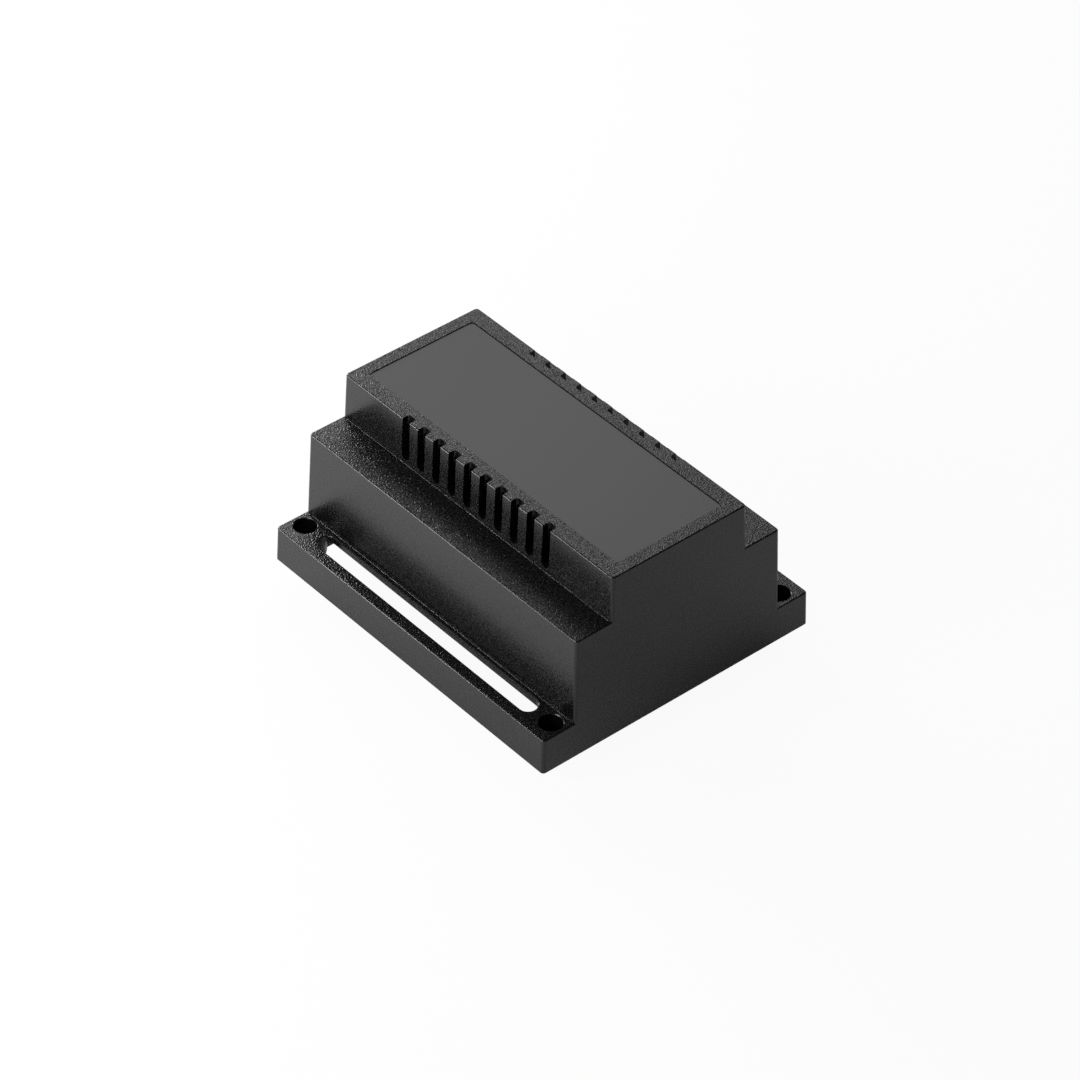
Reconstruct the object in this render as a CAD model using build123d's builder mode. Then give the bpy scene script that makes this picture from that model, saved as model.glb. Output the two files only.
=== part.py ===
import os
from math import cos, radians, sin, tan, tau

from build123d import *

# Enclosure for a 35 mm top-hat rail, six modules wide. Millimetres.
# X runs along the rail, Y across it, and Z away from it. The origin is on the
# plane of the feet, under the middle of the housing.

# Cover, measured at the skirt unless a line says otherwise
cover_length = 107.8
cover_width = 90.0
flange_height = 10.55
shoulder_height = 36.8
cover_height = 50.8
flange_reach = 10.35  # from the skirt in to the foot of the block
nose_width = 45.2     # at the shoulder, to pass a 46 mm cut-out in a front panel
wall = 2.0
draft = 1.75          # degrees, on every upright wall
corner_radius = 1.0
edge_radius = 0.4
foot_radius = 0.1
lip_bevel = 0.2

# Ventilation notches along both sides of the nose
vent_count = 10
vent_pitch = 6.1
vent_width = 2.95
vent_depth = 2.2
vent_sill = 1.4
vent_back_bevel = 0.4

# Shallow recess for a label or foil on the nose
recess_end_rim = 3.85
recess_side_rim = 4.8
recess_depth = 0.25
recess_radius = 1.0

# Slots over the terminals and screw bosses in the flange
slot_width = 5.3
slot_screw_gap = 6.2
screw_inset = 4.7
bore_block_gap = 0.75
head_bore_radius = 3.15
shank_bore_radius = 1.7
boss_wall = 2.45
screw_seat = 1.1

# Upright ribs on the end walls that press on the base
cover_rib_spacing = 24.0
cover_rib_width = 1.5
cover_rib_reach = 1.6
cover_rib_height = 28.0

# Base
foot_height = 7.2     # from the feet to the skirt
base_thickness = 2.7
base_clearance = 0.3
plate_margin = 2.0    # beyond the gussets of the hooks
arm_width = 3.0
pad_radius = 4.2
pad_boss_radius = 2.6
pad_boss_height = 1.8
pilot_radius = 1.25

# Board posts
post_radius = 3.0
post_height = 5.0
post_end_gap = 7.6
post_side_gap = 4.5
post_bore_radius = 1.25
post_bore_depth = 6.0

# 35 mm rail and what grips it
rail_width = 35.0
rail_lip = 1.0
rail_clearance = 0.2
lip_clearance = 0.3
seat_drop = 2.5
seat_rib_width = 1.8
seat_rib_spacing = 31.2
seat_rib_end_gap = 1.6
cross_rib_width = 1.6
cross_rib_height = 2.0
cross_rib_pitch = 26.0
clip_spacing = 52.0
grip = 1.9            # how far a hook or latch reaches under the rail

# Fixed hooks
hook_width = 10.0
hook_wall = 4.2
hook_lead = 1.6
gusset_width = 2.0
gusset_reach = 4.6
gusset_drop = 5.0

# Sliding latches, their guides and springs
latch_width = 15.0
latch_travel = 4.0
latch_lift = 0.4
latch_lead = 1.8
tail_width = 8.8
tail_length = 6.6
tail_slot_length = 5.0
tail_slot_width = 1.8
tail_slot_inset = 3.0
slide_clearance = 0.2
guide_wall = 1.9
guide_flange = 1.2
guide_length = 19.0
guide_gap = 0.3
pocket_wall = 1.6
pocket_head_gap = 1.0
pocket_inset = 4.6
stop_thickness = 2.0
stop_clearance = 0.3
spring_length = 12.0
spring_radius = 2.2
wire_radius = 0.3
spring_turns = 7
turn_sides = 8        # the fine wire is drawn with few flats
wire_sides = 4
spring_side_gap = 0.5
spring_end_gap = 0.05
pip_radius = 1.2
pip_length = 2.5

# Screws, 2.9 x 6.5 thread-forming
screw_core_radius = 1.15
screw_length = 6.5
head_radius = 2.8
head_height = 1.6
recess_arm = 1.6
recess_arm_width = 0.7
recess_deep = 0.9

# Levels
skirt_z = foot_height
flange_z = skirt_z + flange_height
shoulder_z = skirt_z + shoulder_height
top_z = skirt_z + cover_height
plate_z = skirt_z + base_thickness
rail_seat_z = skirt_z - seat_drop
grip_z = rail_seat_z - rail_lip - lip_clearance

# Places shared by several pieces
slope = tan(radians(draft))
block_width = cover_width - 2 * flange_reach
screw_x = cover_length / 2 - screw_inset
screw_y = block_width / 2 + bore_block_gap + head_bore_radius
screw_corners = [(x, y) for x in (-screw_x, screw_x) for y in (-screw_y, screw_y)]
clip_places = {"left": -clip_spacing / 2, "right": clip_spacing / 2}
rail_edge = rail_width / 2 + rail_clearance
same_level = 0.01
seat_top_z = plate_z + screw_seat


def on_flange(face):
    """True for the level faces of the flange's top."""
    return abs(face.center().Z - flange_z) < same_level


def stepped_blocks(inset, vertical_radius):
    """The flange, block and nose as drafted blocks that all start at the skirt."""
    levels = [
        (cover_width, 0, flange_height),
        (block_width, flange_height, shoulder_height),
        (nose_width, shoulder_height, cover_height),
    ]
    blocks = []
    for width, foot, height in levels:
        with BuildPart() as block:
            with BuildSketch(Plane.XY.offset(skirt_z)):
                Rectangle(cover_length - 2 * inset, width + 2 * foot * slope - 2 * inset)
            extrude(amount=height - inset, taper=draft)
            uprights = block.edges().filter_by(lambda edge: abs(edge.tangent_at(0.5).Z) > 0.9)
            fillet(uprights, vertical_radius)
            if inset == 0:
                fillet(block.faces().sort_by(Axis.Z)[-1].edges(), edge_radius)
        blocks.append(block.part)
    return blocks


outer_blocks = stepped_blocks(0, corner_radius)
inner_blocks = stepped_blocks(wall, corner_radius)

# Cover: one moulding, a stepped drafted shell that is open below
recess_length = cover_length - 2 * cover_height * slope - 2 * recess_end_rim
recess_width = nose_width - 2 * (cover_height - shoulder_height) * slope - 2 * recess_side_rim
nose_top_half = nose_width / 2 - (cover_height - shoulder_height) * slope
vent_floor = nose_top_half - vent_depth
vent_low_z = shoulder_z + vent_sill + vent_width / 2
vent_high_z = top_z + wall
inner_end = cover_length / 2 - wall

# One vent as a solid: round at the foot, with bevelled corners at the back
with BuildPart() as vent:
    with BuildSketch(Plane.XZ.offset(vent_floor)):
        with Locations((0, vent_low_z)):
            Circle(vent_width / 2)
        with Locations((0, (vent_low_z + vent_high_z) / 2)):
            Rectangle(vent_width, vent_high_z - vent_low_z)
    extrude(amount=vent_depth + wall)
    with BuildSketch(Plane.XY.offset(shoulder_z)) as plan:
        with Locations((0, -vent_floor - (vent_depth + wall) / 2)):
            Rectangle(vent_width, vent_depth + wall)
        chamfer(plan.vertices().group_by(Axis.Y)[-1], vent_back_bevel)
    extrude(amount=vent_high_z - shoulder_z, mode=Mode.INTERSECT)

with BuildPart() as cover:
    for block in outer_blocks:
        add(block)
    for block in inner_blocks:
        add(block, mode=Mode.SUBTRACT)

    # Small coves where the block meets the flange and the nose the shoulders
    for half_width, foot_z in ((block_width / 2, flange_z), (nose_width / 2, shoulder_z)):
        for side in (-1, 1):
            with BuildSketch(Plane.YZ):
                with Locations((side * half_width, foot_z)):
                    Rectangle(2 * foot_radius, 2 * foot_radius)
                with Locations((side * (half_width + foot_radius), foot_z + foot_radius)):
                    Circle(foot_radius, mode=Mode.SUBTRACT)
            extrude(amount=cover_length / 2 - cover_height * slope - corner_radius, both=True)

    # Screw bosses hang from the flange and run into the skirt walls
    with BuildSketch(Plane.XY.offset(plate_z)):
        with Locations(*screw_corners):
            Circle(head_bore_radius + boss_wall)
        Rectangle(cover_length - wall, cover_width - wall, mode=Mode.INTERSECT)
    extrude(amount=flange_z - wall - plate_z)
    with BuildSketch(Plane.XY.offset(flange_z)):
        with Locations(*screw_corners):
            Circle(head_bore_radius)
    extrude(amount=seat_top_z - flange_z, mode=Mode.SUBTRACT)
    with BuildSketch(Plane.XY.offset(seat_top_z)):
        with Locations(*screw_corners):
            Circle(shank_bore_radius)
    extrude(amount=-screw_seat, mode=Mode.SUBTRACT)

    # Ribs down the inside of the end walls
    with BuildSketch(Plane.XY.offset(plate_z)):
        for side in (-1, 1):
            with Locations((side * (inner_end - cover_rib_reach / 2 + wall / 4), 0)):
                with GridLocations(0, cover_rib_spacing, 1, 2):
                    Rectangle(cover_rib_reach + wall / 2, cover_rib_width)
    extrude(amount=cover_rib_height)

    # Long slots in the flange, in line with the screws
    with BuildSketch(Plane.XY.offset(flange_z)):
        with Locations((0, -screw_y), (0, screw_y)):
            SlotOverall(2 * (screw_x - slot_screw_gap), slot_width)
    extrude(amount=-wall, mode=Mode.SUBTRACT)

    # The lips of the bores and slots are slightly bevelled
    lips = cover.faces().filter_by(Axis.Z).filter_by(on_flange)
    chamfer([edge for face in lips for wire in face.inner_wires() for edge in wire.edges()], lip_bevel)

    # Recess on the nose
    with BuildSketch(Plane.XY.offset(top_z)):
        RectangleRounded(recess_length, recess_width, recess_radius)
    extrude(amount=-recess_depth, mode=Mode.SUBTRACT)

    # Vents down both sides of the nose
    for turn in (0, 180):
        with GridLocations(vent_pitch, 0, vent_count, 1):
            add(vent.part, rotation=(0, 0, turn), mode=Mode.SUBTRACT)
cover.part.label = "cover"

# Base: a plate between two wiring windows, held by four arms at the screws
base_half_length = inner_end - base_clearance
hook_back = -rail_edge - hook_wall
plate_half_width = gusset_reach + plate_margin - hook_back
post_spacing_x = 2 * (base_half_length - post_end_gap)
post_spacing_y = 2 * (plate_half_width - post_side_gap)
skirt_room_width = cover_width - 2 * wall - 2 * base_clearance
guide_start = rail_edge + base_clearance
guide_end = guide_start + guide_length
guide_outer = latch_width / 2 + slide_clearance + guide_wall
keel_half = tail_width / 2
pocket_inner_half = spring_radius + spring_side_gap
pocket_outer_half = pocket_inner_half + pocket_wall
wing_low_z = guide_flange + slide_clearance
pocket_top_z = skirt_z - pocket_head_gap
spring_z = (latch_lift + pocket_top_z) / 2
pocket_start = rail_edge + pocket_inset
stop_y = pocket_start + spring_length
pocket_end = stop_y + stop_thickness + stop_clearance

with BuildPart() as base:
    with BuildSketch(Plane.XY.offset(skirt_z)):
        Rectangle(2 * base_half_length, 2 * plate_half_width)
        with Locations((-base_half_length + arm_width / 2, 0), (base_half_length - arm_width / 2, 0)):
            Rectangle(arm_width, 2 * screw_y)
        with Locations(*screw_corners):
            Circle(pad_radius)
        for x in clip_places.values():
            with Locations((x, guide_end / 2)):
                Rectangle(2 * guide_outer, guide_end)
        Rectangle(2 * base_half_length, skirt_room_width, mode=Mode.INTERSECT)
    extrude(amount=base_thickness)

    # Screw pads, thicker below for the thread
    with BuildSketch(Plane.XY.offset(skirt_z)):
        with Locations(*screw_corners):
            Circle(pad_boss_radius)
        Rectangle(2 * base_half_length, skirt_room_width, mode=Mode.INTERSECT)
    extrude(amount=-pad_boss_height)
    with BuildSketch(Plane.XY.offset(plate_z)):
        with Locations(*screw_corners):
            Circle(pilot_radius)
    extrude(amount=-base_thickness - pad_boss_height, mode=Mode.SUBTRACT)

    # Board posts with blind bores
    with BuildSketch(Plane.XY.offset(plate_z)):
        with GridLocations(post_spacing_x, post_spacing_y, 2, 2):
            Circle(post_radius)
    extrude(amount=post_height)
    with BuildSketch(Plane.XY.offset(plate_z + post_height)):
        with GridLocations(post_spacing_x, post_spacing_y, 2, 2):
            Circle(post_bore_radius)
    extrude(amount=-post_bore_depth, mode=Mode.SUBTRACT)

    # Ribs that the rail lies against, and ribs across between them
    with BuildSketch(Plane.XY.offset(skirt_z)):
        with GridLocations(0, seat_rib_spacing, 1, 2):
            Rectangle(2 * (base_half_length - seat_rib_end_gap), seat_rib_width)
    extrude(amount=-seat_drop)
    with BuildSketch(Plane.XY.offset(skirt_z)):
        with GridLocations(cross_rib_pitch, 0, 4, 1):
            Rectangle(cross_rib_width, seat_rib_spacing)
    extrude(amount=-cross_rib_height)

    # Fixed hooks, each with a lead-in and two gussets behind it
    for x in clip_places.values():
        with BuildSketch(Plane.YZ.offset(x)):
            with BuildLine():
                Polyline(
                    (-rail_edge, skirt_z),
                    (-rail_edge, grip_z),
                    (-rail_edge + grip, grip_z),
                    (-rail_edge + grip, hook_lead),
                    (-rail_edge + grip - hook_lead, 0),
                    (hook_back, 0),
                    (hook_back, skirt_z),
                    close=True,
                )
            make_face()
        extrude(amount=hook_width / 2, both=True)
        for side in (-1, 1):
            with BuildSketch(Plane.YZ.offset(x + side * (hook_width - gusset_width) / 2)):
                with BuildLine():
                    Polyline(
                        (hook_back, skirt_z),
                        (hook_back, skirt_z - gusset_drop),
                        (hook_back - gusset_reach, skirt_z),
                        close=True,
                    )
                make_face()
            extrude(amount=gusset_width / 2, both=True)

    # Channel guides for the latches, relieved below where the latch tip travels
    rib_inner = pocket_outer_half + guide_gap
    flange_inner = keel_half + guide_gap
    wall_inner = latch_width / 2 + slide_clearance
    for x in clip_places.values():
        for side in (-1, 1):
            with BuildSketch(Plane.XZ.offset(-guide_start)):
                with BuildLine():
                    Polyline(
                        (x + side * guide_outer, 0),
                        (x + side * flange_inner, 0),
                        (x + side * flange_inner, guide_flange),
                        (x + side * wall_inner, guide_flange),
                        (x + side * wall_inner, grip_z + slide_clearance),
                        (x + side * rib_inner, grip_z + slide_clearance),
                        (x + side * rib_inner, skirt_z),
                        (x + side * guide_outer, skirt_z),
                        close=True,
                    )
                make_face()
            extrude(amount=-guide_length)
    with BuildSketch():
        for x in clip_places.values():
            with Locations((x, guide_start + latch_travel / 2)):
                Rectangle(2 * wall_inner, latch_travel)
    extrude(amount=wing_low_z, mode=Mode.SUBTRACT)

    # Stops that hang into the latch pockets, each with a pip for its spring
    with BuildSketch(Plane.XY.offset(skirt_z)):
        for x in clip_places.values():
            with Locations((x, stop_y + stop_thickness / 2)):
                Rectangle(2 * (pocket_inner_half - stop_clearance), stop_thickness)
    extrude(amount=latch_lift + stop_clearance - skirt_z)
    for x in clip_places.values():
        with BuildSketch(Plane.XZ.offset(-stop_y)):
            with Locations((x, spring_z)):
                Circle(pip_radius)
        extrude(amount=pip_length)
base.part.label = "base"

# Latches: T-shaped sliders with a boxed pocket for the spring
tip_y = rail_edge - grip
wing_end = pocket_end + pocket_wall
tail_end = wing_end + tail_length
latches = {}
for side_name, x in clip_places.items():
    with BuildPart() as latch:
        with BuildSketch(Plane.XY.offset(wing_low_z)):
            with Locations((x, (tip_y + wing_end) / 2)):
                Rectangle(latch_width, wing_end - tip_y)
        extrude(amount=grip_z - wing_low_z)
        with BuildSketch(Plane.XY.offset(latch_lift)):
            with Locations((x, (tip_y + tail_end) / 2)):
                Rectangle(tail_width, tail_end - tip_y)
            with Locations((x, (tip_y + guide_start - slide_clearance) / 2)):
                Rectangle(latch_width, guide_start - slide_clearance - tip_y)
        extrude(amount=grip_z - latch_lift)
        tip_edge = latch.edges().filter_by(Axis.X).group_by(Axis.Y)[0].sort_by(Axis.Z)[0]
        chamfer(tip_edge, latch_lead)
        # Pocket walls stand up from the slider
        with BuildSketch(Plane.XY.offset(latch_lift)):
            with Locations((x, (pocket_start + pocket_end) / 2)):
                Rectangle(2 * pocket_outer_half, pocket_end - pocket_start + 2 * pocket_wall)
        extrude(amount=pocket_top_z - latch_lift)
        with BuildSketch(Plane.XY.offset(latch_lift)):
            with Locations((x, (pocket_start + pocket_end) / 2)):
                Rectangle(2 * pocket_inner_half, pocket_end - pocket_start)
        extrude(amount=pocket_top_z - latch_lift, mode=Mode.SUBTRACT)
        with BuildSketch(Plane.XZ.offset(-pocket_start)):
            with Locations((x, spring_z)):
                Circle(pip_radius)
        extrude(amount=-pip_length)
        # Slot for a screwdriver blade in the tail
        with BuildSketch(Plane.XY.offset(latch_lift)):
            with Locations((x, tail_end - tail_slot_inset)):
                Rectangle(tail_slot_length, tail_slot_width)
        extrude(amount=grip_z - latch_lift, mode=Mode.SUBTRACT)
        tail_corners = latch.edges().filter_by(Axis.Z).group_by(Axis.Y)[-1]
        fillet(tail_corners, corner_radius)
    latch.part.label = "rail_latch_" + side_name
    latches[side_name] = latch.part

# Compression springs between the latches and their stops, with closed end turns
coil_radius = spring_radius - wire_radius
coil_height = spring_length - 2 * wire_radius - 2 * spring_end_gap
coil_start = pocket_start + wire_radius + spring_end_gap
closed_pitch = 2 * wire_radius + spring_end_gap
open_turns = spring_turns - 2
open_pitch = (coil_height - 2 * closed_pitch) / open_turns


def coil_point(x, turn):
    """A point on the wire's centre line, that many turns from the latch end."""
    rise = closed_pitch * min(turn, 1)
    rise += open_pitch * min(max(turn - 1, 0), open_turns)
    rise += closed_pitch * max(turn - 1 - open_turns, 0)
    angle = tau * turn
    return (x + coil_radius * cos(angle), coil_start + rise, spring_z + coil_radius * sin(angle))


springs = {}
for side_name, x in clip_places.items():
    with BuildPart() as spring:
        with BuildLine() as coil:
            Polyline(*[coil_point(x, step / turn_sides) for step in range(spring_turns * turn_sides + 1)])
        with BuildSketch(Plane(origin=coil.line @ 0, z_dir=coil.line % 0)):
            RegularPolygon(wire_radius, wire_sides)
        sweep(path=coil.line, transition=Transition.RIGHT)
    spring.part.label = "latch_spring_" + side_name
    springs[side_name] = spring.part

# Cover screws: pan heads with a cross recess, seated at the foot of the bosses
with BuildPart() as cover_screws:
    with BuildSketch(Plane.XY.offset(seat_top_z)):
        with Locations(*screw_corners):
            Circle(head_radius)
    extrude(amount=head_height)
    with BuildSketch(Plane.XY.offset(seat_top_z + head_height)):
        with Locations(*screw_corners):
            Rectangle(2 * recess_arm, recess_arm_width)
            Rectangle(recess_arm_width, 2 * recess_arm)
    extrude(amount=-recess_deep, mode=Mode.SUBTRACT)
    with BuildSketch(Plane.XY.offset(seat_top_z)):
        with Locations(*screw_corners):
            Circle(screw_core_radius)
    extrude(amount=-screw_length)
cover_screws.part.label = "cover_screws"

os.makedirs("parts", exist_ok=True)
export_step(cover.part, "parts/cover.step")
export_step(base.part, "parts/base.step")
for side_name, latch_part in latches.items():
    export_step(latch_part, f"parts/rail_latch_{side_name}.step")
for side_name, spring_part in springs.items():
    export_step(spring_part, f"parts/latch_spring_{side_name}.step")
export_step(cover_screws.part, "parts/cover_screws.step")
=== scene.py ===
import math

import bpy
from mathutils import Matrix, Vector


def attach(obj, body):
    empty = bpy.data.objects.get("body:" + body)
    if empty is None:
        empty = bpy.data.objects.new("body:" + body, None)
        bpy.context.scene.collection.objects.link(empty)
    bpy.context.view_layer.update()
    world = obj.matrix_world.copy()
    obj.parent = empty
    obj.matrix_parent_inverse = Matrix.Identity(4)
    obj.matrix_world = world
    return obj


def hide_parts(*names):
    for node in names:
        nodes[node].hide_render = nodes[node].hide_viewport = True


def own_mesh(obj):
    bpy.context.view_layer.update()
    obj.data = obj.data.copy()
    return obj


# Enclosure for a top-hat rail: black moulded cover on its base, with the latches under it.
# Metres throughout, in the frame of the solids: X along the rail, Y across it, Z up.

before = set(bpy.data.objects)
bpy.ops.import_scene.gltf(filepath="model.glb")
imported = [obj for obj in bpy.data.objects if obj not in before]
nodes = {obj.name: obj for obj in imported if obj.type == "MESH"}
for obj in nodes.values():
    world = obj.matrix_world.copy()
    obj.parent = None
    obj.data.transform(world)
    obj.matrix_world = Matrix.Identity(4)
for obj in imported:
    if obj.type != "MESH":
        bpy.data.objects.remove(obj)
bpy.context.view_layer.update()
mm = 0.001
plasticIor = 1.53    # ABS and acetal
bpy.ops.object.select_all(action="DESELECT")


def linearColour(code):
    channels = [int(code[i:i + 2], 16) / 255 for i in (1, 3, 5)]
    return [c / 12.92 if c <= 0.04045 else ((c + 0.055) / 1.055) ** 2.4 for c in channels] + [1]


def addNode(tree, kind, settings=None, inputs=None):
    node = tree.nodes.new(kind)
    for name, value in (settings or {}).items():
        setattr(node, name, value)
    for name, value in (inputs or {}).items():
        if isinstance(value, bpy.types.NodeSocket):
            tree.links.new(value, node.inputs[name])
        else:
            node.inputs[name].default_value = value
    return node


def newMaterial(name):
    material = bpy.data.materials.new(name)
    material.use_nodes = True
    material.node_tree.nodes.clear()
    return material, material.node_tree


def grainScale(size):
    return 1 / (size * mm)    # noise scale that gives grains of this size in mm


def selectOnly(*objects):
    bpy.ops.object.select_all(action="DESELECT")
    for each in objects:
        each.select_set(True)
    bpy.context.view_layer.objects.active = objects[0]


def applyAll(piece):
    selectOnly(piece)
    for modifier in list(piece.modifiers):
        bpy.ops.object.modifier_apply(modifier=modifier.name)


print("materials")

coverFinish = {
    "colour": "#080808",
    "grain": 0.37,                   # mm, drawn a little coarser than the real pits to show
    "grainDepth": 0.16,              # mm
    "wallStretch": 0.62,             # the grain is drawn out along the draw on upright walls
    "wallGrain": 0.13,               # share of the depth that is left on them
    "recessGrain": 0.03,             # and on the floor of the recess
    "levelBand": (0.82, 0.97),       # upward share of a normal: upright wall, level face
    "landBand": (0.38, 0.58),        # height of the grain: pit, land between the pits
    "topRoughness": (0.31, 0.24),    # in the pits and on the lands
    "wallRoughness": (0.30, 0.23),
    "recessRoughness": 0.39,
    "recessTop": 57.8,               # mm, the floor of the recess lies between these levels
    "recessFoot": 57.3,
    "recessHalfLength": 48.5,
    "recessHalfWidth": 17.3,
}
baseFinish = {"colour": "#1e1e1f", "roughness": 0.46, "spread": 0.06, "grain": 0.4, "grainDepth": 0.015}
latchFinish = {"colour": "#1a1a1b", "roughness": 0.38, "spread": 0.06, "grain": 0.6, "grainDepth": 0.006}
springFinish = {"colour": "#b9b7b2", "roughness": 0.28, "spread": 0.08, "grain": 0.25,
                "grainDepth": 0.004, "stretch": (1, 0.4, 1)}
screwFinish = {"colour": "#3a3b3f", "roughness": 0.34, "spread": 0.08, "grain": 0.18,
               "grainDepth": 0.005, "stretch": (1, 1, 1)}


def makeCoverPlastic(finish):
    # ABS moulded in a spark-eroded tool: black and dull, with a speckle that sparkles on the
    # level faces, calmer upright walls and an even satin floor in the recess
    material, tree = newMaterial("blackAbsSparkEroded")
    coords = addNode(tree, "ShaderNodeTexCoord").outputs
    place = addNode(tree, "ShaderNodeMapping", {"vector_type": "POINT"}, {
        "Vector": coords["Object"], "Scale": (1, 1, finish["wallStretch"])}).outputs["Vector"]
    grain = addNode(tree, "ShaderNodeTexNoise", {"noise_dimensions": "3D"}, {
        "Vector": place, "Scale": grainScale(finish["grain"]), "Detail": 0.0}).outputs["Fac"]

    # 1 on the floor of the recess, 0 elsewhere
    xyz = addNode(tree, "ShaderNodeSeparateXYZ", inputs={"Vector": coords["Object"]}).outputs
    below = addNode(tree, "ShaderNodeMath", {"operation": "LESS_THAN"}, {
        0: xyz["Z"], 1: finish["recessTop"] * mm}).outputs[0]
    above = addNode(tree, "ShaderNodeMath", {"operation": "GREATER_THAN"}, {
        0: xyz["Z"], 1: finish["recessFoot"] * mm}).outputs[0]
    recess = addNode(tree, "ShaderNodeMath", {"operation": "MULTIPLY"}, {0: below, 1: above}).outputs[0]
    for axis, half in (("X", finish["recessHalfLength"]), ("Y", finish["recessHalfWidth"])):
        inside = addNode(tree, "ShaderNodeMath", {"operation": "COMPARE"}, {
            0: xyz[axis], 1: 0.0, 2: half * mm}).outputs[0]
        recess = addNode(tree, "ShaderNodeMath", {"operation": "MULTIPLY"}, {0: recess, 1: inside}).outputs[0]

    # The tool was eroded deeper on its level faces than down its upright walls
    upright = addNode(tree, "ShaderNodeSeparateXYZ", inputs={"Vector": coords["Normal"]}).outputs["Z"]
    upright = addNode(tree, "ShaderNodeMath", {"operation": "ABSOLUTE"}, {0: upright}).outputs[0]
    level = addNode(tree, "ShaderNodeMapRange", inputs={
        "Value": upright, "From Min": finish["levelBand"][0],
        "From Max": finish["levelBand"][1]}).outputs["Result"]
    strength = addNode(tree, "ShaderNodeMix", {"data_type": "FLOAT"}, {
        "Factor": level, 2: finish["wallGrain"], 3: 1.0}).outputs[0]
    strength = addNode(tree, "ShaderNodeMix", {"data_type": "FLOAT"}, {
        "Factor": recess, 2: strength, 3: finish["recessGrain"]}).outputs[0]
    bump = addNode(tree, "ShaderNodeBump", inputs={
        "Height": grain, "Distance": finish["grainDepth"] * mm, "Strength": strength}).outputs["Normal"]

    lands = addNode(tree, "ShaderNodeMapRange", inputs={
        "Value": grain, "From Min": finish["landBand"][0],
        "From Max": finish["landBand"][1]}).outputs["Result"]
    onTop = addNode(tree, "ShaderNodeMix", {"data_type": "FLOAT"}, {
        "Factor": lands, 2: finish["topRoughness"][0], 3: finish["topRoughness"][1]}).outputs[0]
    onWalls = addNode(tree, "ShaderNodeMix", {"data_type": "FLOAT"}, {
        "Factor": lands, 2: finish["wallRoughness"][0], 3: finish["wallRoughness"][1]}).outputs[0]
    roughness = addNode(tree, "ShaderNodeMix", {"data_type": "FLOAT"}, {
        "Factor": level, 2: onWalls, 3: onTop}).outputs[0]
    roughness = addNode(tree, "ShaderNodeMix", {"data_type": "FLOAT"}, {
        "Factor": recess, 2: roughness, 3: finish["recessRoughness"]}).outputs[0]

    plastic = addNode(tree, "ShaderNodeBsdfPrincipled", inputs={
        "Base Color": linearColour(finish["colour"]), "Roughness": roughness, "Normal": bump,
        "IOR": plasticIor})
    addNode(tree, "ShaderNodeOutputMaterial", inputs={"Surface": plastic.outputs["BSDF"]})
    return material


def makePlainPlastic(name, finish):
    # Moulded in a plain tool: dark and even, with a faint break-up of the gloss
    material, tree = newMaterial(name)
    place = addNode(tree, "ShaderNodeTexCoord").outputs["Object"]
    noise = addNode(tree, "ShaderNodeTexNoise", inputs={
        "Vector": place, "Scale": grainScale(finish["grain"]),
        "Detail": 3.0, "Roughness": 0.6}).outputs["Fac"]
    bump = addNode(tree, "ShaderNodeBump", inputs={
        "Height": noise, "Distance": finish["grainDepth"] * mm}).outputs["Normal"]
    roughness = addNode(tree, "ShaderNodeMapRange", inputs={
        "Value": noise, "From Min": 0.3, "From Max": 0.7,
        "To Min": finish["roughness"] - finish["spread"],
        "To Max": finish["roughness"] + finish["spread"]}).outputs["Result"]
    plastic = addNode(tree, "ShaderNodeBsdfPrincipled", inputs={
        "Base Color": linearColour(finish["colour"]), "Roughness": roughness, "Normal": bump,
        "IOR": plasticIor})
    addNode(tree, "ShaderNodeOutputMaterial", inputs={"Surface": plastic.outputs["BSDF"]})
    return material


def makeSteel(name, finish):
    # Drawn or plated steel: a broken shine, with fine marks along the stretch
    material, tree = newMaterial(name)
    place = addNode(tree, "ShaderNodeTexCoord").outputs["Object"]
    drawn = addNode(tree, "ShaderNodeMapping", {"vector_type": "POINT"}, {
        "Vector": place, "Scale": finish["stretch"]}).outputs["Vector"]
    marks = addNode(tree, "ShaderNodeTexNoise", inputs={
        "Vector": drawn, "Scale": grainScale(finish["grain"]),
        "Detail": 4.0, "Roughness": 0.6}).outputs["Fac"]
    bump = addNode(tree, "ShaderNodeBump", inputs={
        "Height": marks, "Distance": finish["grainDepth"] * mm}).outputs["Normal"]
    roughness = addNode(tree, "ShaderNodeMapRange", inputs={
        "Value": marks, "From Min": 0.3, "From Max": 0.7,
        "To Min": finish["roughness"] - finish["spread"],
        "To Max": finish["roughness"] + finish["spread"]}).outputs["Result"]
    steel = addNode(tree, "ShaderNodeBsdfPrincipled", inputs={
        "Base Color": linearColour(finish["colour"]), "Metallic": 1.0,
        "Roughness": roughness, "Normal": bump})
    addNode(tree, "ShaderNodeOutputMaterial", inputs={"Surface": steel.outputs["BSDF"]})
    return material


coverPlastic = makeCoverPlastic(coverFinish)
basePlastic = makePlainPlastic("blackAbsFineMatt", baseFinish)
latchPlastic = makePlainPlastic("blackAcetalSatin", latchFinish)
springSteel = makeSteel("springSteelDrawn", springFinish)
blackZinc = makeSteel("steelBlackZincPlated", screwFinish)

print("stage")

room = {
    "floorSize": 6.0,             # m
    "floorColour": "#f4f4f4",
    "whiteToCamera": 0.94,        # how far the paper's shadow is lifted to white for the camera
    "whiteToReflections": 0.03,   # and for reflections
    "lightStrength": 0.10,        # what the room itself gives as light
    "backdrop": 0.92,             # the pale backdrop, as the camera sees it
    "horizon": 0.5,               # its foot, as reflections see it
    "ceiling": 0.02,              # and the dim room above
    "fade": (0.10, 0.35),         # height of the view where the one passes into the other
}

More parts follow.
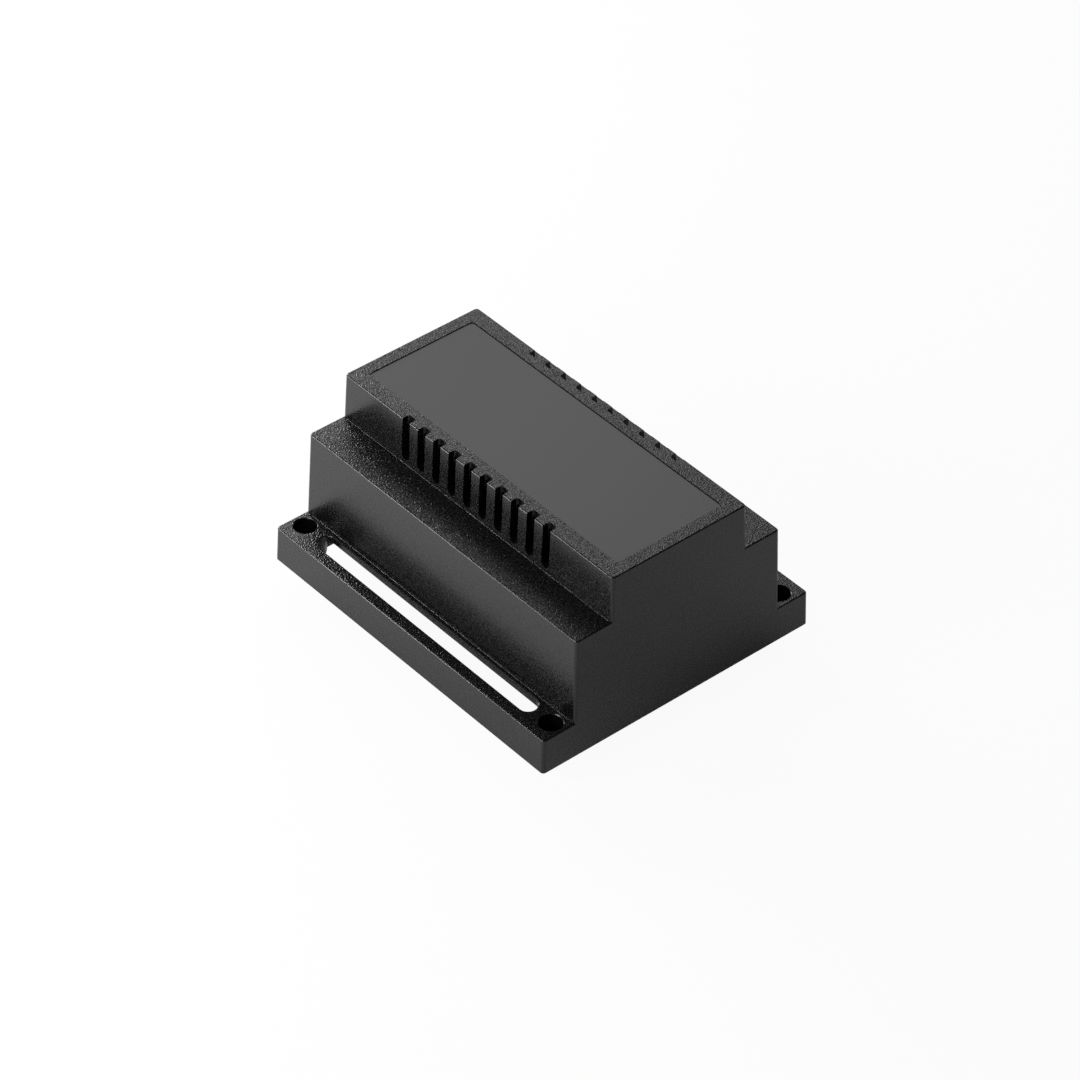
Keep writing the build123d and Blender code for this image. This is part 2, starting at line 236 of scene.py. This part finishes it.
bpy.ops.mesh.primitive_plane_add(size=room["floorSize"], location=(0, 0, 0))
floor = bpy.context.active_object
floor.name = "floorPaper"
floorPaper, tree = newMaterial("paleMattPaper")
paper = addNode(tree, "ShaderNodeBsdfDiffuse", inputs={"Color": linearColour(room["floorColour"])})
white = addNode(tree, "ShaderNodeEmission", inputs={"Color": (1, 1, 1, 1), "Strength": 1.0})
rays = addNode(tree, "ShaderNodeLightPath").outputs
reflected = addNode(tree, "ShaderNodeMath", {"operation": "ADD"},
                    {0: rays["Is Glossy Ray"], 1: rays["Is Transmission Ray"]}).outputs[0]
reflected = addNode(tree, "ShaderNodeMath", {"operation": "MULTIPLY"},
                    {0: reflected, 1: room["whiteToReflections"]}).outputs[0]
lift = addNode(tree, "ShaderNodeMath", {"operation": "MULTIPLY_ADD"},
               {0: rays["Is Camera Ray"], 1: room["whiteToCamera"], 2: reflected}).outputs[0]
lifted = addNode(tree, "ShaderNodeMixShader",
                 inputs={"Fac": lift, 1: paper.outputs["BSDF"], 2: white.outputs["Emission"]})
addNode(tree, "ShaderNodeOutputMaterial", inputs={"Surface": lifted.outputs["Shader"]})
floor.data.materials.append(floorPaper)

world = bpy.data.worlds.new("studio")
bpy.context.scene.world = world
world.use_nodes = True
world.node_tree.nodes.clear()
rays = addNode(world.node_tree, "ShaderNodeLightPath").outputs
mirrored = addNode(world.node_tree, "ShaderNodeMath", {"operation": "MAXIMUM"},
                   {0: rays["Is Glossy Ray"], 1: rays["Is Transmission Ray"]}).outputs[0]
direction = addNode(world.node_tree, "ShaderNodeTexCoord").outputs["Generated"]
height = addNode(world.node_tree, "ShaderNodeSeparateXYZ", inputs={"Vector": direction}).outputs["Z"]
band = addNode(world.node_tree, "ShaderNodeMapRange", {"interpolation_type": "SMOOTHSTEP"}, {
    "Value": height, "From Min": room["fade"][0], "From Max": room["fade"][1],
    "To Min": room["horizon"], "To Max": room["ceiling"]}).outputs["Result"]
strength = addNode(world.node_tree, "ShaderNodeMix", {"data_type": "FLOAT"},
                   {"Factor": mirrored, 2: room["lightStrength"], 3: band}).outputs[0]
strength = addNode(world.node_tree, "ShaderNodeMix", {"data_type": "FLOAT"},
                   {"Factor": rays["Is Camera Ray"], 2: strength, 3: room["backdrop"]}).outputs[0]
sky = addNode(world.node_tree, "ShaderNodeBackground",
              inputs={"Color": (1, 1, 1, 1), "Strength": strength})
addNode(world.node_tree, "ShaderNodeOutputWorld", inputs={"Surface": sky.outputs["Background"]})

# Softboxes in front, low on the left and behind, and a strip between the first two that draws
# the bright line along the front edges. Directions are in degrees, turned from the front
# towards the right, lengths in metres, and a radiance of 1 is white.
softBoxes = {
    "frontBox": {"turn": 0, "rise": 32, "distance": 0.42, "width": 0.18, "height": 0.18, "radiance": 9.6},
    "leftBox": {"turn": 270, "rise": 18, "distance": 0.45, "width": 0.20, "height": 0.30, "radiance": 8.4},
    "stripBox": {"turn": 324, "rise": 9, "distance": 0.60, "width": 0.12, "height": 0.13, "radiance": 30},
    "backBox": {"turn": 229, "rise": 45, "distance": 0.60, "width": 0.28, "height": 0.28, "radiance": 2.8},
    "sideBox": {"turn": 255, "rise": 22, "distance": 0.60, "width": 0.26, "height": 0.26, "radiance": 2.1},
}
for name, box in softBoxes.items():
    turn, rise = math.radians(box["turn"]), math.radians(box["rise"])
    direction = Vector((math.sin(turn) * math.cos(rise), -math.cos(turn) * math.cos(rise), math.sin(rise)))
    bpy.ops.object.light_add(type="AREA", location=direction * box["distance"])
    lamp = bpy.context.active_object
    lamp.name = name
    lamp.data.shape = "RECTANGLE"
    lamp.data.size = box["width"]
    lamp.data.size_y = box["height"]
    lamp.data.energy = box["radiance"] * math.pi * box["width"] * box["height"]
    lamp.rotation_mode = "QUATERNION"
    lamp.rotation_quaternion = (-direction).to_track_quat("-Z", "Y")

# The photo's view, from above one corner
view = {
    "place": (0.693673, -0.608469, 0.806488),
    "azimuth": 48.7541,
    "elevation": 40.2899,
    "roll": 1.1252,
    "lens": 156.323,          # mm
    "sensor": 36.0,
}
azimuth, elevation, roll = (math.radians(view[k]) for k in ("azimuth", "elevation", "roll"))
back = Vector((math.sin(azimuth) * math.cos(elevation), -math.cos(azimuth) * math.cos(elevation),
               math.sin(elevation)))
level = Vector((math.cos(azimuth), math.sin(azimuth), 0))
upward = back.cross(level)
right = math.cos(roll) * level + math.sin(roll) * upward
top = -math.sin(roll) * level + math.cos(roll) * upward
bpy.ops.object.camera_add(location=view["place"])
camera = bpy.context.active_object
camera.rotation_mode = "QUATERNION"
camera.rotation_quaternion = Matrix((right, top, back)).transposed().to_quaternion()
camera.data.lens = view["lens"]
camera.data.sensor_width = view["sensor"]
bpy.context.scene.camera = camera
bpy.context.scene.view_settings.view_transform = "Standard"

print("mouldings")

for nodeName, material in (("cover", coverPlastic), ("base", basePlastic),
                           ("rail_latch_left", latchPlastic), ("rail_latch_right", latchPlastic)):
    moulding = nodes[nodeName]
    moulding.data.materials.clear()
    moulding.data.materials.append(material)

print("cover screws")

screw = {
    "places": ((-49.2, -38.55, 15), (49.2, -38.55, 52), (49.2, 38.55, 80), (-49.2, 38.55, 31)),
    "seat": 11.0,            # mm, the level under the head
    "length": 6.5,
    "tip": 1.7,
    "tipShare": 0.16,        # how much of the core's width is left at the point
    "coreRadius": 1.1,
    "ridge": 0.22,           # half size of the thread's ridge
    "pitch": 1.1,
    "turns": 5,
    "headRadius": 2.8,
    "headHeight": 1.6,
    "crown": 0.75,
    "crossArm": 3.1,         # across both wings
    "crossWidth": 0.66,
    "crossDepth": 1.1,
    "crossFoot": 0.42,       # how much of the cross is left at its foot
    "overlap": 0.4,          # the shaft runs this far into the head
    "edge": 0.1,
    "shaftSides": 28,
    "headSides": 56,
}


def pickFaces(piece, test):
    bpy.ops.object.mode_set(mode="OBJECT")
    bpy.context.tool_settings.mesh_select_mode = (False, False, True)
    mesh = piece.data
    for group in (mesh.vertices, mesh.edges, mesh.polygons):
        group.foreach_set("select", [False] * len(group))
    for face in mesh.polygons:
        face.select = test(face.center, face.normal)
    bpy.ops.object.mode_set(mode="EDIT")


def addShaft(s):
    straight = s["length"] - s["tip"]
    foot = (s["seat"] - straight) * mm
    depth = (straight + s["overlap"]) * mm
    bpy.ops.mesh.primitive_cylinder_add(vertices=s["shaftSides"], radius=s["coreRadius"] * mm, depth=depth,
                                        location=(0, 0, foot + depth / 2))
    shaft = bpy.context.active_object
    bpy.ops.object.transform_apply(location=True)
    pickFaces(shaft, lambda centre, normal: normal.z < -0.9)
    bpy.ops.mesh.extrude_region_move(TRANSFORM_OT_translate={"value": (0, 0, -s["tip"] * mm)})
    bpy.ops.transform.resize(value=(s["tipShare"], s["tipShare"], 1), center_override=(0, 0, foot))
    bpy.ops.mesh.bevel(offset=s["edge"] * mm, segments=2)
    bpy.ops.object.mode_set(mode="OBJECT")
    return shaft


def addThread(s):
    # One triangle, wound down the core
    bpy.ops.mesh.primitive_circle_add(vertices=3, radius=s["ridge"] * mm, fill_type="NOTHING",
                                      location=(s["coreRadius"] * mm, 0, s["seat"] * mm),
                                      rotation=(math.radians(90), math.radians(90), 0))
    thread = bpy.context.active_object
    bpy.ops.object.transform_apply(location=True, rotation=True)
    wind = thread.modifiers.new("wind", "SCREW")
    wind.axis = "Z"
    wind.screw_offset = -s["pitch"] * mm
    wind.iterations = s["turns"]
    wind.steps = wind.render_steps = s["shaftSides"]
    wind.use_smooth_shade = True
    applyAll(thread)
    bpy.ops.object.mode_set(mode="EDIT")
    bpy.ops.mesh.select_all(action="SELECT")
    bpy.ops.mesh.fill_holes(sides=0)
    bpy.ops.mesh.select_all(action="SELECT")
    bpy.ops.mesh.normals_make_consistent(inside=False)
    bpy.ops.object.mode_set(mode="OBJECT")
    # The ridge runs in with the cone of the tip
    low = (s["seat"] - s["length"] + s["tip"]) * mm
    for point in thread.data.vertices:
        share = min(1, max(0, (low - point.co.z) / (s["tip"] * mm)))
        inward = 1 - share * (1 - s["tipShare"])
        point.co.x *= inward
        point.co.y *= inward
    return thread


def addHead(s):
    top = (s["seat"] + s["headHeight"]) * mm
    bpy.ops.mesh.primitive_cylinder_add(vertices=s["headSides"], radius=s["headRadius"] * mm,
                                        depth=s["headHeight"] * mm,
                                        location=(0, 0, top - s["headHeight"] * mm / 2))
    head = bpy.context.active_object
    bpy.ops.object.transform_apply(location=True)
    pickFaces(head, lambda centre, normal: normal.z > 0.9)
    bpy.ops.mesh.bevel(offset=s["crown"] * mm, segments=6, profile=0.55)
    bpy.ops.object.mode_set(mode="OBJECT")
    for turn in (0, 90):
        wing = (s["crossArm"] * mm, s["crossWidth"] * mm, 2 * s["crossDepth"] * mm)
        bpy.ops.mesh.primitive_cube_add(size=1, location=(0, 0, top), scale=wing,
                                        rotation=(0, 0, math.radians(turn)))
        cutter = bpy.context.active_object
        bpy.ops.object.transform_apply(location=True, rotation=True, scale=True)
        pickFaces(cutter, lambda centre, normal: normal.z < -0.9)
        bpy.ops.transform.resize(value=(s["crossFoot"], s["crossFoot"], 1), center_override=(0, 0, top))
        bpy.ops.object.mode_set(mode="OBJECT")
        cut = head.modifiers.new("cross", "BOOLEAN")
        cut.operation = "DIFFERENCE"
        cut.solver = "EXACT"
        cut.object = cutter
        applyAll(head)
        bpy.data.objects.remove(cutter)
    return head


parts = [addHead(screw), addShaft(screw), addThread(screw)]
selectOnly(*parts)
bpy.ops.object.join()
firstScrew = parts[0]
bpy.ops.object.shade_smooth_by_angle(angle=math.radians(32))
firstScrew.data.materials.clear()
firstScrew.data.materials.append(blackZinc)
for number, (x, y, turn) in enumerate(screw["places"], 1):
    copy = firstScrew.copy()
    copy.data = firstScrew.data.copy()
    copy.name = copy.data.name = f"coverScrew{number}"
    bpy.context.scene.collection.objects.link(copy)
    copy.location = (x * mm, y * mm, 0)
    copy.rotation_euler = (0, 0, math.radians(turn))
    selectOnly(copy)
    bpy.ops.object.transform_apply(location=True, rotation=True)
    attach(copy, "housing")
    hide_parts("cover_screws")
bpy.data.objects.remove(firstScrew)

print("latch springs")

spring = {
    "x": 26.0,               # mm, the latches' middle lines
    "start": 22.3,           # y of the pocket's end
    "length": 12.0,
    "z": 3.3,
    "coilRadius": 1.9,
    "wireRadius": 0.3,
    "openTurns": 6,
    "closedTurns": 1.0,      # at each end, wound wire on wire
    "pointsPerTurn": 16,
    "keep": 8 / 12,          # 12 mm long at rest, 8 mm with the latch drawn out
}


def coilRise(turn, s):
    closedPitch = 2.04 * s["wireRadius"]
    total = s["length"] - 2.1 * s["wireRadius"]
    openPitch = (total - 2 * s["closedTurns"] * closedPitch) / s["openTurns"]
    rise = min(turn, s["closedTurns"]) * closedPitch
    rise += min(max(turn - s["closedTurns"], 0), s["openTurns"]) * openPitch
    return rise + max(turn - s["closedTurns"] - s["openTurns"], 0) * closedPitch


def addSpring(name, x, s):
    turns = s["openTurns"] + 2 * s["closedTurns"]
    count = int(turns * s["pointsPerTurn"]) + 1
    line = bpy.data.curves.new(name, "CURVE")
    line.dimensions = "3D"
    path = line.splines.new("NURBS")
    path.points.add(count - 1)
    for number, point in enumerate(path.points):
        turn = number / s["pointsPerTurn"]
        angle = 2 * math.pi * turn
        point.co = ((x + s["coilRadius"] * math.cos(angle)) * mm,
                    (s["start"] + 1.05 * s["wireRadius"] + coilRise(turn, s)) * mm,
                    (s["z"] + s["coilRadius"] * math.sin(angle)) * mm, 1)
    path.order_u = 4
    path.use_endpoint_u = True
    path.resolution_u = 3
    line.bevel_depth = s["wireRadius"] * mm
    line.bevel_resolution = 3
    line.use_fill_caps = True
    piece = bpy.data.objects.new(name, line)
    bpy.context.scene.collection.objects.link(piece)
    selectOnly(piece)
    bpy.ops.object.convert(target="MESH")
    piece = bpy.context.active_object
    bpy.ops.object.mode_set(mode="EDIT")
    bpy.ops.mesh.select_all(action="SELECT")
    bpy.ops.mesh.remove_doubles(threshold=0.001 * mm)
    bpy.ops.object.mode_set(mode="OBJECT")
    bpy.ops.object.shade_smooth_by_angle(angle=math.radians(50))
    piece.data.materials.clear()
    piece.data.materials.append(springSteel)
    return piece


for side, sign in (("left", -1), ("right", 1)):
    coil = addSpring(side + "LatchSpring", sign * spring["x"], spring)
    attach(coil, "housing")
    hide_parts("latch_spring_" + side)
    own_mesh(coil)
